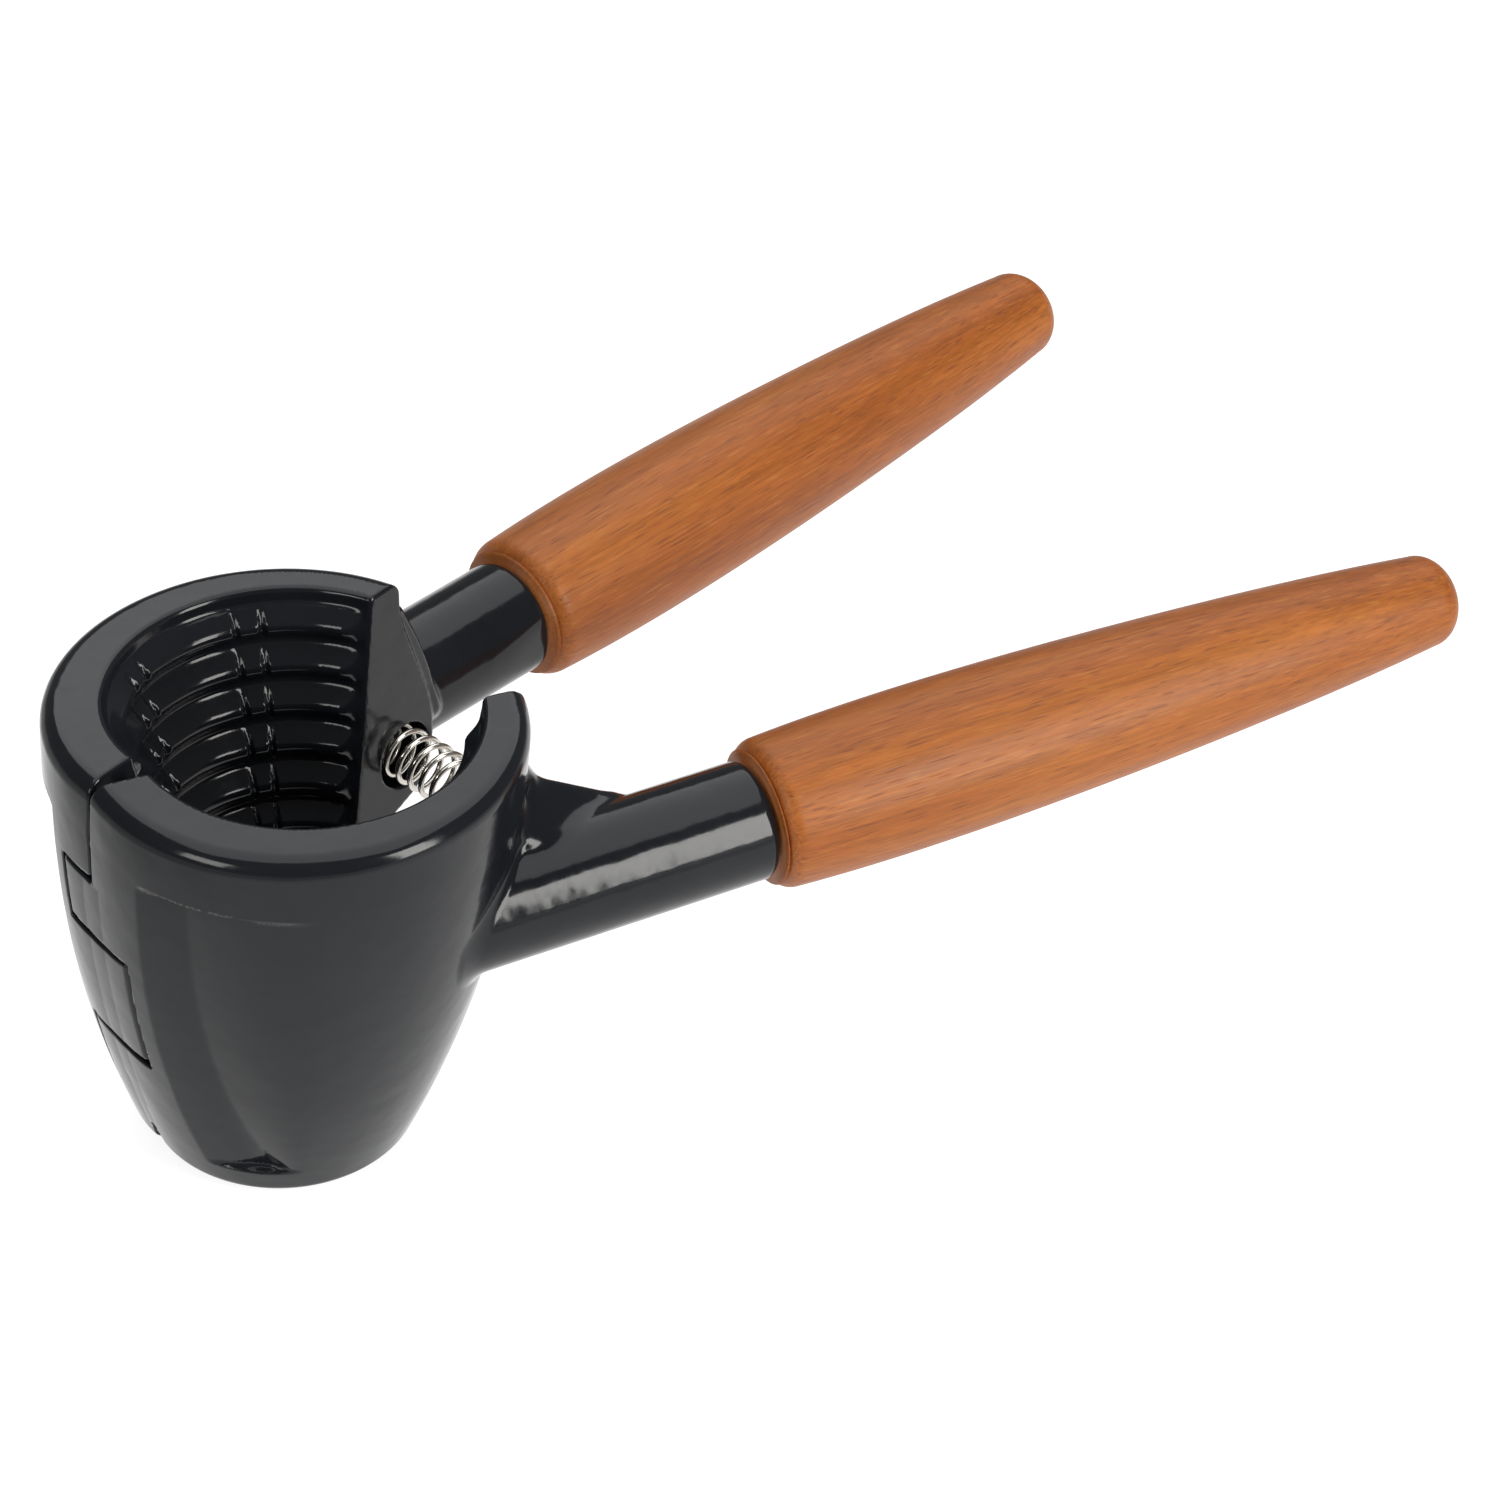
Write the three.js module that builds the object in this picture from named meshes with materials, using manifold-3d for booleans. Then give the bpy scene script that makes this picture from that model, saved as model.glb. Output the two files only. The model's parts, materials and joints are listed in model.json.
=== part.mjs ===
// A hand nutcracker for walnuts: two half-cup jaws on a leaning hinge at the back of the cup,
// held open by a compression spring, each jaw with an arm that ends in a turned wooden grip.
// Millimetres, +Z up, +X from the hinge towards the grips, +Y towards the rear jaw.
import * as THREE from "three";
import { mergeVertices } from "three/addons/utils/BufferGeometryUtils.js";
import Module from "manifold-3d";

const wasm = await Module();
wasm.setup();

// ---------- driving dimensions ----------
const CLEARANCE = 0.3; // between pieces that touch
const BIG = 200; // half-size of the blocks that cut a piece along a plane

// The two jaws stand 28.9 degrees apart at rest.
const OPEN = THREE.MathUtils.degToRad(28.86);
const HINGE_X = -28.65; // hinge axis at the height of the rim
const HINGE_LEAN = THREE.MathUtils.degToRad(6.16); // the axis leans inwards on its way down

// Cup, in the frame of one jaw: the split plane is y = 0 and the rim is z = 0.
const CUP = { radius: 29.2, height: 62.8, offset: -3.4, straight: 4, flank: 152, drift: -4.9 };
const RIM_FILLET = 2.6;
const BASE_FILLET = 1.2;
const COLLAR_FOOT = -9.3; // the side panel is let in below this height
const PANEL_FOOT = -58.8; // and above this one
const PANEL_DEPTH = 1.7;
const LUG_HALF = 10.2; // half-width of the raised hinge lug
const PANEL_EDGE = 14.5; // distance from the split plane at which the panel is deepest

// Hollow of the cup and the ribs on its wall.
const MOUTH = { radius: 22.5, offset: -0.183, centreX: 1.0 };
const HOLLOW_DEPTH = 55.5;
const HOLLOW_TAPER = 0.185;
const RIB = { first: -4.2, pitch: 5.8, count: 8, crest: 2.6, height: 1.5 };

// Hinge knuckles: levels of the cuts, and the pin through them.
const KNUCKLE_CUTS = [-14.7, -24.5, -42, -80];
const KNUCKLE_RADIUS = 7.2;
const KNUCKLE_GAP = 0.6;
const PIN = { radius: 1.75, start: 18.2, end: 51 };
const PIN_BORE = 2.05;
const DRIFT_RADIUS = 1.0; // hole in the foot through which the pin is driven out

// Arm and grip, both turned about one axis that starts beside the cup.
const ARM = { radius: 8.1, y: 12.77, z: -25.66, start: 12, end: 58.4, shoulder: 1.3 };
const ARM_INWARDS = THREE.MathUtils.degToRad(5.14);
const ARM_RISE = THREE.MathUtils.degToRad(0.99);
const GRIP = {
  start: 58.7,
  length: 107.4,
  radii: [10.12, 7.15, -22.93, 21.28, -9.73], // powers of the part of the length
};
const STUD = { radius: 3, inArm: 14, inGrip: 34 };

// Spring and the pockets that hold its ends.
const POCKET = { x: 28.0, z: -28.2, radius: 4.7, depth: 6 };
const SPRING = { radius: 3.5, wire: 0.45, turns: 14, seat: 1.5 };

// ---------- colours ----------
const BLACK_LACQUER = { color: 0x0b0c0e, roughness: 0.18, metalness: 0.0 };
const STEEL = { color: 0xb9bcc0, roughness: 0.3, metalness: 1.0 };
const WOOD = { color: 0xa9622f, roughness: 0.5, metalness: 0.0 };

// ---------- solids ----------
function toSolid(geometry) {
  const bare = geometry.clone();
  bare.deleteAttribute("normal");
  bare.deleteAttribute("uv");
  const merged = mergeVertices(bare, 1e-4);
  return new wasm.Manifold(
    new wasm.Mesh({
      numProp: 3,
      vertProperties: new Float32Array(merged.attributes.position.array),
      triVerts: new Uint32Array(merged.index.array),
    }),
  );
}

function toGeometry(solid) {
  const mesh = solid.getMesh();
  const geometry = new THREE.BufferGeometry();
  geometry.setAttribute("position", new THREE.BufferAttribute(mesh.vertProperties, 3));
  geometry.setIndex(new THREE.BufferAttribute(mesh.triVerts, 1));
  geometry.computeVertexNormals();
  return geometry;
}

// A geometry mirrored in the split plane, with its faces turned back outwards.
function mirrored(geometry) {
  const copy = geometry.clone().scale(1, -1, 1);
  const index = copy.index.array;
  for (let i = 0; i < index.length; i += 3) {
    const second = index[i + 1];
    index[i + 1] = index[i + 2];
    index[i + 2] = second;
  }
  return copy;
}

// A body turned about +Z from a profile of [radius, z] points.
function turned(profile, segments) {
  const points = profile.map(([radius, z]) => new THREE.Vector2(radius, z));
  return mergeVertices(new THREE.LatheGeometry(points, segments).rotateX(Math.PI / 2));
}

// A prism on an outline of [x, z] points that runs from y = from to y = to.
function prism(outline, from, to) {
  const shape = new THREE.Shape(outline.map(([x, z]) => new THREE.Vector2(x, z)));
  const geometry = new THREE.ExtrudeGeometry(shape, { depth: to - from, bevelEnabled: false });
  return mergeVertices(geometry.rotateX(Math.PI / 2).translate(0, to, 0));
}

function slab(zLow, zHigh) {
  return new THREE.BoxGeometry(BIG, BIG, zHigh - zLow).translate(0, 0, (zLow + zHigh) / 2);
}

const hingeDirection = new THREE.Vector3(-Math.sin(HINGE_LEAN), 0, Math.cos(HINGE_LEAN));

function aboutHinge(angle) {
  const there = new THREE.Matrix4().makeTranslation(HINGE_X, 0, 0);
  const turn = new THREE.Matrix4().makeRotationAxis(hingeDirection, angle);
  const back = new THREE.Matrix4().makeTranslation(-HINGE_X, 0, 0);
  return there.multiply(turn).multiply(back);
}

// A cylinder on the hinge axis, between two distances down from the rim.
function onHinge(radius, from, to, segments = 48) {
  const cylinder = new THREE.CylinderGeometry(radius, radius, to - from, segments);
  cylinder.rotateX(Math.PI / 2).translate(0, 0, -(from + to) / 2);
  return cylinder.rotateY(-HINGE_LEAN).translate(HINGE_X, 0, 0);
}

// ---------- cup ----------
// Radius of the cup's outer wall at a height, without fillets.
function wallRadius(z) {
  const below = Math.max(0, -z - CUP.straight);
  return CUP.radius - CUP.flank + Math.sqrt(CUP.flank ** 2 - below ** 2);
}

function cupDrift(z) {
  return CUP.drift * Math.max(0, -z / CUP.height);
}

function outerProfile() {
  const points = [[0, -CUP.height]];
  const base = wallRadius(-CUP.height);
  points.push([base - BASE_FILLET, -CUP.height]);
  points.push([base, -CUP.height + BASE_FILLET]);
  points.push([wallRadius(PANEL_FOOT), PANEL_FOOT - 0.2]);
  const steps = 11;
  for (let i = 0; i <= steps; i++) {
    const z = THREE.MathUtils.lerp(PANEL_FOOT + 0.2, COLLAR_FOOT - 0.2, i / steps);
    points.push([wallRadius(z), z]);
  }
  points.push([wallRadius(COLLAR_FOOT), COLLAR_FOOT + 0.2]);
  for (let i = 0; i <= 4; i++) {
    const a = (i / 4) * (Math.PI / 2);
    const r = CUP.radius - RIM_FILLET + RIM_FILLET * Math.cos(a);
    points.push([r, -RIM_FILLET + RIM_FILLET * Math.sin(a)]);
  }
  points.push([0, 0]);
  return points;
}

// How deep the side panel is let in, at an angle from the hinge side and a distance from the
// split plane: it starts beside the lug, is deepest at PANEL_EDGE and runs out by the grips.
function panelRecess(angle, y, edgeAngle) {
  const runOut = THREE.MathUtils.degToRad(80);
  const ramp = THREE.MathUtils.clamp((y - LUG_HALF) / (PANEL_EDGE - LUG_HALF), 0, 1);
  const fade = 1 - THREE.MathUtils.smoothstep(angle, edgeAngle, runOut);
  return PANEL_DEPTH * ramp * fade;
}

// The outside of one half of the cup as a whole body: the lathe's rings are moved so that two
// of its lines run along the edges of the lug, and the panel is pressed in between.
function cupBody(offset) {
  const segments = 64;
  const lugStep = (3 / segments) * 2 * Math.PI;
  const panelStep = (6 / segments) * 2 * Math.PI;
  const geometry = turned(outerProfile(), segments);
  const position = geometry.attributes.position;
  for (let i = 0; i < position.count; i++) {
    const x = position.getX(i);
    const y = position.getY(i);
    const z = position.getZ(i);
    const radius = Math.hypot(x, y);
    const wall = wallRadius(z);
    const centreY = (offset * wall) / CUP.radius;
    let angle = Math.atan2(y, -x);
    let moved = radius;
    if (angle > 1e-6 && radius > 1) {
      const lugAngle = Math.asin((LUG_HALF - centreY) / wall);
      const edgeAngle = Math.asin((PANEL_EDGE - centreY) / wall);
      if (angle < lugStep) {
        angle *= lugAngle / lugStep;
      } else if (angle < panelStep) {
        const part = (angle - lugStep) / (panelStep - lugStep);
        angle = THREE.MathUtils.lerp(lugAngle, edgeAngle, part);
      } else {
        const part = (angle - panelStep) / (Math.PI - panelStep);
        angle = THREE.MathUtils.lerp(edgeAngle, Math.PI, part);
      }
      const onPanel = z < COLLAR_FOOT && z > PANEL_FOOT;
      const depth = panelRecess(angle, radius * Math.sin(angle) + centreY, edgeAngle);
      moved -= onPanel ? depth : 0;
    }
    position.setX(i, cupDrift(z) - moved * Math.cos(angle));
    position.setY(i, centreY + moved * Math.sin(angle));
  }
  return geometry;
}

function hollowRadius(z) {
  return MOUTH.radius + HOLLOW_TAPER * Math.min(0, z);
}

function hollowProfile() {
  const floor = hollowRadius(-HOLLOW_DEPTH);
  const points = [[0, -HOLLOW_DEPTH]];
  points.push([floor - 6, -HOLLOW_DEPTH]);
  points.push([floor - 2, -HOLLOW_DEPTH + 1.6]);
  for (let i = RIB.count - 1; i >= 0; i--) {
    const z = RIB.first - i * RIB.pitch;
    const crest = hollowRadius(z) - RIB.height;
    points.push([hollowRadius(z - RIB.crest - 0.7), z - RIB.crest - 0.7]);
    points.push([crest - HOLLOW_TAPER * RIB.crest, z - RIB.crest]);
    points.push([crest, z]);
    points.push([hollowRadius(z + 0.5), z + 0.5]);
  }
  points.push([MOUTH.radius, 0]);
  points.push([MOUTH.radius, 1]);
  points.push([0, 1]);
  return points;
}

function cupHollow() {
  const geometry = turned(hollowProfile(), 44);
  const position = geometry.attributes.position;
  for (let i = 0; i < position.count; i++) {
    const z = position.getZ(i);
    const lean = MOUTH.centreX + 0.03 * Math.min(20, -Math.min(0, z));
    position.setX(i, position.getX(i) + lean);
    position.setY(i, position.getY(i) + MOUTH.offset * hollowRadius(z));
  }
  return geometry;
}

// ---------- arm ----------
function alongArm(geometry) {
  geometry.rotateY(Math.PI / 2 - ARM_RISE);
  geometry.rotateZ(-ARM_INWARDS);
  return geometry.translate(0, ARM.y, ARM.z);
}

function armBody() {
  const profile = [[0, ARM.start], [ARM.radius, ARM.start], [ARM.radius, ARM.end - ARM.shoulder]];
  for (let i = 1; i <= 3; i++) {
    const a = (i / 3) * (Math.PI / 2);
    const r = ARM.radius - ARM.shoulder + ARM.shoulder * Math.cos(a);
    profile.push([r, ARM.end - ARM.shoulder + ARM.shoulder * Math.sin(a)]);
  }
  profile.push([0, ARM.end]);
  return alongArm(turned(profile, 32));
}

function armBore() {
  const radius = STUD.radius + CLEARANCE;
  const from = ARM.end - STUD.inArm - CLEARANCE;
  const profile = [[0, from], [radius, from], [radius, ARM.end + 5], [0, ARM.end + 5]];
  return alongArm(turned(profile, 24));
}

// The pad beside the mouth that carries the spring pocket and joins the arm to the cup. Its
// upper edge stands out further on the rear jaw than on the front one.
function armPad(side) {
  const upper = side > 0
    ? [[27.9, -5], [29.6, -7.7], [30.7, -15], [30.7, -20], [33.6, -21.4]]
    : [[26, -9], [28, -11], [30.7, -18], [33.6, -21.6]];
  const lower = side > 0
    ? [[33.6, -29.5], [31.6, -33.6], [27.6, -37], [16, -41]]
    : [[33.6, -27.5], [31, -31], [27, -34], [16, -40]];
  return prism([[16, -8], ...upper, ...lower], 0, 10);
}

// The web from the cup's wall down to the top of the arm, set back from the split face.
function armGusset(side) {
  const top = side > 0
    ? [[28.6, -5], [31, -8], [33.4, -13.4], [36, -16.4], [39.4, -18.4]]
    : [[27.5, -12.4], [31.3, -14.3], [35, -16.7], [38.7, -19]];
  return prism([[22, -6], ...top, [41, -24], [22, -24]], side > 0 ? 2.2 : 3.4, 10.5);
}

// ---------- jaws ----------
// Half of the cup with its arm, in the jaw's own frame, cut along the split plane. The wedge
// beyond the hinge axis is cut away too, so that both jaws meet there when they are open.
function jawBlank(side) {
  const turnedSide = (geometry) => toSolid(side > 0 ? geometry : mirrored(geometry));
  const splitBlock = new THREE.BoxGeometry(BIG, BIG, BIG);
  splitBlock.translate(0, (side * (BIG + CLEARANCE)) / 2, 0);
  const stopBlock = splitBlock.clone().applyMatrix4(aboutHinge((-side * OPEN) / 2));
  const halves = [splitBlock, stopBlock].map(toSolid);
  const outside = turnedSide(cupBody(CUP.offset));
  const flush = outside.intersect(halves[0]).intersect(halves[1]);
  let jaw = outside.add(turnedSide(armPad(side))).add(turnedSide(armGusset(side)));
  jaw = jaw.add(turnedSide(armBody())).intersect(halves[0]).intersect(halves[1]);
  jaw = jaw.subtract(turnedSide(cupHollow())).subtract(turnedSide(armBore()));
  const pocket = turned([[0, -5], [POCKET.radius, -5], [POCKET.radius, POCKET.depth], [0, POCKET.depth]], 32);
  pocket.rotateX(-Math.PI / 2).translate(POCKET.x, 0, POCKET.z);
  jaw = jaw.subtract(turnedSide(pocket));
  return { jaw, flush };
}

function moveSolid(solid, matrix) {
  return toSolid(toGeometry(solid).applyMatrix4(matrix));
}

function makeJaws() {
  const sides = [1, -1];
  const blanks = sides.map(jawBlank);
  const poses = sides.map((side) => aboutHinge((side * OPEN) / 2));
  const jaws = blanks.map((blank, i) => moveSolid(blank.jaw, poses[i]));
  const cups = blanks.map((blank, i) => moveSolid(blank.flush, poses[i]));
  const between = toSolid(cupBody(0)).add(toSolid(mirrored(cupBody(0))));
  const whole = cups[0].add(cups[1]).add(between);
  // Every second knuckle belongs to the front jaw, starting with the highest.
  for (let i = 0; i + 1 < KNUCKLE_CUTS.length; i++) {
    const owner = i % 2 === 0 ? 1 : 0;
    const other = 1 - owner;
    const [top, foot] = [KNUCKLE_CUTS[i], KNUCKLE_CUTS[i + 1]];
    const outer = slab(foot - KNUCKLE_GAP / 2, top + KNUCKLE_GAP / 2).applyMatrix4(poses[other]);
    const slot = toSolid(onHinge(KNUCKLE_RADIUS + CLEARANCE, 0, 100)).intersect(toSolid(outer));
    jaws[other] = jaws[other].subtract(slot);
    const inner = slab(foot + KNUCKLE_GAP / 2, top - KNUCKLE_GAP / 2).applyMatrix4(poses[owner]);
    const barrel = toSolid(onHinge(KNUCKLE_RADIUS, 0, 100)).intersect(toSolid(inner));
    jaws[owner] = jaws[owner].add(whole.intersect(barrel));
  }
  const bore = toSolid(onHinge(PIN_BORE, PIN.start - 0.4, PIN.end + 0.4, 24));
  const driftHole = toSolid(onHinge(DRIFT_RADIUS, PIN.start, 100, 16));
  return jaws.map((jaw) => toGeometry(jaw.subtract(bore).subtract(driftHole)));
}

// ---------- grips, studs, pin, spring ----------
// Radius of the grip at a part of its length: fullest near the arm, slim at the tip.
function gripRadius(part) {
  return GRIP.radii.reduceRight((sum, factor) => sum * part + factor, 0);
}

const TIP = { start: 0.956, steps: 5 };

function gripGeometry() {
  const bore = STUD.radius + CLEARANCE;
  const boreEnd = STUD.inGrip + CLEARANCE;
  const points = [[0, boreEnd], [bore, boreEnd], [bore, 0], [gripRadius(0) - 1.8, 0]];
  for (let i = 1; i <= 3; i++) {
    const a = (i / 3) * (Math.PI / 2);
    points.push([gripRadius(0) - 1.8 + 1.8 * Math.sin(a), 1.8 - 1.8 * Math.cos(a)]);
  }
  const steps = 14;
  for (let i = 1; i <= steps; i++) {
    const part = THREE.MathUtils.lerp(0.03, TIP.start, i / steps);
    points.push([gripRadius(part), part * GRIP.length]);
  }
  // The tip is half an ellipsoid.
  for (let i = 1; i <= TIP.steps; i++) {
    const a = (i / TIP.steps) * (Math.PI / 2);
    const part = TIP.start + (1 - TIP.start) * Math.sin(a);
    points.push([gripRadius(TIP.start) * Math.cos(a), part * GRIP.length]);
  }
  return turned(points, 32);
}

function studGeometry() {
  const low = -STUD.inArm;
  const high = STUD.inGrip;
  const lead = 0.8;
  const profile = [[0, low], [STUD.radius - lead, low], [STUD.radius, low + lead]];
  profile.push([STUD.radius, high - lead], [STUD.radius - lead, high], [0, high]);
  return turned(profile, 20);
}

function pinGeometry() {
  return new THREE.CylinderGeometry(PIN.radius, PIN.radius, PIN.end - PIN.start, 20);
}

// The spring bends round the hinge, so its centre line is an arc about the hinge axis.
class SpringCurve extends THREE.Curve {
  getPoint(t) {
    const reach = POCKET.x - HINGE_X;
    const half = OPEN / 2 + (POCKET.depth - SPRING.seat) / reach;
    const sweep = THREE.MathUtils.lerp(-half, half, t);
    const around = t * SPRING.turns * 2 * Math.PI;
    const distance = reach + SPRING.radius * Math.cos(around);
    return new THREE.Vector3(
      HINGE_X + distance * Math.cos(sweep),
      distance * Math.sin(sweep),
      POCKET.z + SPRING.radius * Math.sin(around),
    );
  }
}

function springGeometry() {
  const section = new THREE.Shape();
  section.absarc(0, 0, SPRING.wire, 0, 2 * Math.PI);
  return new THREE.ExtrudeGeometry(section, {
    steps: SPRING.turns * 12,
    curveSegments: 3,
    extrudePath: new SpringCurve(),
    bevelEnabled: false,
  });
}

// ---------- assembly ----------
function mesh(name, geometry, look) {
  const piece = new THREE.Mesh(geometry, new THREE.MeshStandardMaterial(look));
  piece.name = name;
  return piece;
}

const nutcracker = new THREE.Group();
const [rearJaw, frontJaw] = makeJaws();
nutcracker.add(mesh("rear_jaw", rearJaw, BLACK_LACQUER));
nutcracker.add(mesh("front_jaw", frontJaw, BLACK_LACQUER));

// Grip and stud share the arm's axis: a frame on that axis is turned with its jaw.
for (const [prefix, side] of [["rear", 1], ["front", -1]]) {
  const onJaw = new THREE.Group();
  onJaw.applyMatrix4(aboutHinge((side * OPEN) / 2));
  const onAxis = new THREE.Group();
  onAxis.position.set(0, side * ARM.y, ARM.z);
  onAxis.rotation.set(0, Math.PI / 2 - ARM_RISE, -side * ARM_INWARDS, "ZYX");
  const grip = mesh(prefix + "_grip", gripGeometry(), WOOD);
  grip.position.z = GRIP.start;
  const stud = mesh(prefix + "_stud", studGeometry(), STEEL);
  stud.position.z = GRIP.start;
  onAxis.add(grip, stud);
  onJaw.add(onAxis);
  nutcracker.add(onJaw);
}

const pin = mesh("hinge_pin", pinGeometry(), STEEL);
pin.geometry.rotateX(Math.PI / 2);
pin.rotation.y = -HINGE_LEAN;
const pinMiddle = hingeDirection.clone().multiplyScalar(-(PIN.start + PIN.end) / 2);
pin.position.copy(pinMiddle.add(new THREE.Vector3(HINGE_X, 0, 0)));
nutcracker.add(pin);
nutcracker.add(mesh("return_spring", springGeometry(), STEEL));

// The origin is the middle of the footprint, level with the lowest edge of the cup.
const bounds = new THREE.Box3().setFromObject(nutcracker, true);
const middle = bounds.getCenter(new THREE.Vector3());
nutcracker.position.set(-middle.x, -middle.y, -bounds.min.z);
const part = new THREE.Group();
part.name = "nutcracker";
part.add(nutcracker);

export default part;
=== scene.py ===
"""Looks for the hand nutcracker: two lacquered half-cup jaws, turned wooden grips, a coil spring,
the hinge pin and the studs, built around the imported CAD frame. Shapes are worked out in
millimetres in the frame of one jaw (split plane y = 0, rim z = 0) and placed in metres."""

import json
import math

import bpy
import numpy as np
from mathutils import Matrix, Vector


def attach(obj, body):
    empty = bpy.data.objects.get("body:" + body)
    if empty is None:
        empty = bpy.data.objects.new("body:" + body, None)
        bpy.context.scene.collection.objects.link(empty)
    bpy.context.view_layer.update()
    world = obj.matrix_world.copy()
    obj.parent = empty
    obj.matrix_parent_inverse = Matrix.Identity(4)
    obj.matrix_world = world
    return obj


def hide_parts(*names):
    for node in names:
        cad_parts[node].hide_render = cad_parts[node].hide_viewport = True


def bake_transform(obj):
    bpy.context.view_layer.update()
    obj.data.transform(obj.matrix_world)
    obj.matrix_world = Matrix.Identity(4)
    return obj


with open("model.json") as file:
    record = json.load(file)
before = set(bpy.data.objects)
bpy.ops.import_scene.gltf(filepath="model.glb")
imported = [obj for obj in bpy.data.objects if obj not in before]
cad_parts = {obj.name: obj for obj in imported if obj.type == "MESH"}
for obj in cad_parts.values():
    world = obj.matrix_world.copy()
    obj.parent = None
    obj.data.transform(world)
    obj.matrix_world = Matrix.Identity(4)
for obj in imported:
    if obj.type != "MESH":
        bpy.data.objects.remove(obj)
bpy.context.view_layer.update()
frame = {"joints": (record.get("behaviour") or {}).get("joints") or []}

MM = 0.001

# ---------- driving dimensions, in millimetres ----------
HINGE_X = -28.65
HINGE_LEAN = math.radians(6.16)
OPEN = math.radians(28.86)
HALF_GAP = 0.15

CUP_RADIUS = 29.2
CUP_HEIGHT = 62.8
CUP_OFFSET = -3.4
CUP_STRAIGHT = 4.0
CUP_FLANK = 152.0
CUP_DRIFT = -4.9
DRIFT_ROUNDING = 2.0
DEEPEST = 90.0  # more than any depth below the rim
RIM_FILLET = 2.6
BASE_FILLET = 1.3
COLLAR_FOOT = -9.3
PANEL_FOOT = -58.0
PANEL_DEPTH = 1.9
LUG_HALF = 10.2
PANEL_EDGE = 14.5
PANEL_ROUNDING = (0.2, 0.25)  # beside the lug, and at the panel's edge
PANEL_FADE_END = math.radians(80)
PANEL_STEP = 0.9  # height of the step at the panel's head and foot

MOUTH_RADIUS = 22.5
MOUTH_OFFSET = -0.183
MOUTH_CENTRE = 1.0
HOLLOW_DEPTH = 55.5
HOLLOW_TAPER = 0.185
HOLLOW_DRIFT = 0.03
HOLLOW_DRIFT_END = 20
HOLLOW_SLANT = 0.93  # share of a radial distance that is left across the ribbed wall
HOLLOW_FOOT = 3.0
RIB_FIRST = -4.2
RIB_PITCH = 5.8
RIB_COUNT = 8
RIB_HEIGHT = 2.0
RIB_CORNERS = [0, 0.9, 2.6, 3.4, RIB_PITCH]  # down from the top of a crest
RIB_HEIGHTS = [1, 0.95, 0.15, 0, 1]
RIB_SAMPLES = 400
RIB_SMOOTHING = 50  # half-width of the smoothing, in samples
RIB_TOP = -1.6
RIB_ROW_FADE = 0.8
RIB_ENDS = (11, 166)  # degrees from the opening
RIB_END_FADES = (9, 6)
RIB_NOTCHES = (50, 60, 103, 111)
NOTCH_DEPTH = 0.3
NOTCH_HALF = 2.0

KNUCKLE_CUTS = (-14.7, -24.5, -42.0, -80.0)
KNUCKLE_RADIUS = 7.2
KNUCKLE_GAP = 0.6
PIN_RADIUS = 1.75
PIN_BORE = 1.9
PIN_SPAN = (18.2, 51.0)
PIN_MIDDLE = sum(PIN_SPAN) / 2
PIN_HALF = (PIN_SPAN[1] - PIN_SPAN[0]) / 2
PIN_END_ROOM = 0.2
PIN_CHAMFER = 0.4
DRIFT_HOLE = 1.0

ARM_RADIUS = 8.1
ARM_Y = 12.77
ARM_Z = -25.66
ARM_START = 12.0
ARM_END = 58.4
ARM_SHOULDER = 1.5
ARM_INWARDS = math.radians(5.14)
ARM_RISE = math.radians(0.99)
GRIP_START = 58.7
GRIP_LENGTH = 107.4
GRIP_RADII = (-9.73, 21.28, -22.93, 7.15, 10.12)  # falling powers of the part of the length
GRIP_TIP = 0.956
GRIP_FACE = 9.3  # radius of the flat end that meets the arm
GRIP_HEAD = 2.3  # rounding between that end and the side
GRIP_SIDE_START = 0.028  # share of the length, as is the tip's
GRIP_BORE_CORNER = 0.5
GRIP_GRAIN_TURN = 1.1
STUD_RADIUS = 3.0
STUD_IN_ARM = 14.0
STUD_IN_GRIP = 34.0
STUD_PLAIN = (-1.5, 6)
STUD_CHAMFER = 0.8
STUD_END_ROOM = 1.2
THREAD_PITCH = 1.0
THREAD_DEPTH = 0.35
SHANK_DEPTH = 0.1
CLEARANCE = 0.3

POCKET_X = 28.0
POCKET_Z = -28.2
POCKET_RADIUS = 4.7
POCKET_DEPTH = 6.0
SPRING_RADIUS = 3.5
SPRING_WIRE = 0.4
SPRING_TURNS = 17
SPRING_SEAT = 1.5
SPRING_FLAT_END = 0.045  # share of the wire that lies nearly flat at each end
SPRING_FLAT_RISE = 1.2  # how far it rises there, in wire radii
SPRING_STEPS = 40  # rings of vertices in one turn
SPRING_AROUND = 14
SPRING_CAP = 0.15

# The pool of light on the floor, in metres.
POOL_TURN = math.radians(36.73)
POOL_MIDDLE = (0.0126, 0.073)
POOL_RADII = (0.14, 0.225)
POOL_FADE = 1.55  # where it has faded out, in radii
POOL_SQUARENESS = 3
POOL_STRENGTH = (0.22, 0.86)  # outside it and inside it

# Roundings and fillets of the castings under their lacquer.
EDGE = 0.5
OUTLINE_CORNER = 1.2
PAD_BACK = 2.2
WEB_SPLIT_SIDE, WEB_BACK, WEB_FOOT = 0.9, 1.5, 1.0
WEB_TO_ARM, PAD_TO_ARM, ARM_TO_CUP = 1.8, 1.0, 1.3
HOLLOW_EDGE = 0.7
BORE_EDGE = 0.3
POCKET_FLOOR, POCKET_EDGE = 0.4, 0.45
STOP_EDGE = 0.2
KNUCKLE_EDGE, SLOT_CORNER = 0.4, 0.3
PIN_EDGE = 0.2
FALL_START, FALL_ROUNDING = 4, 0.8
BEHIND_SPLIT = -3  # the outside is carried on flat from here, behind the split plane

SIDES = {"rear": 1, "front": -1}  # the side of the split plane that a jaw is on

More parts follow.
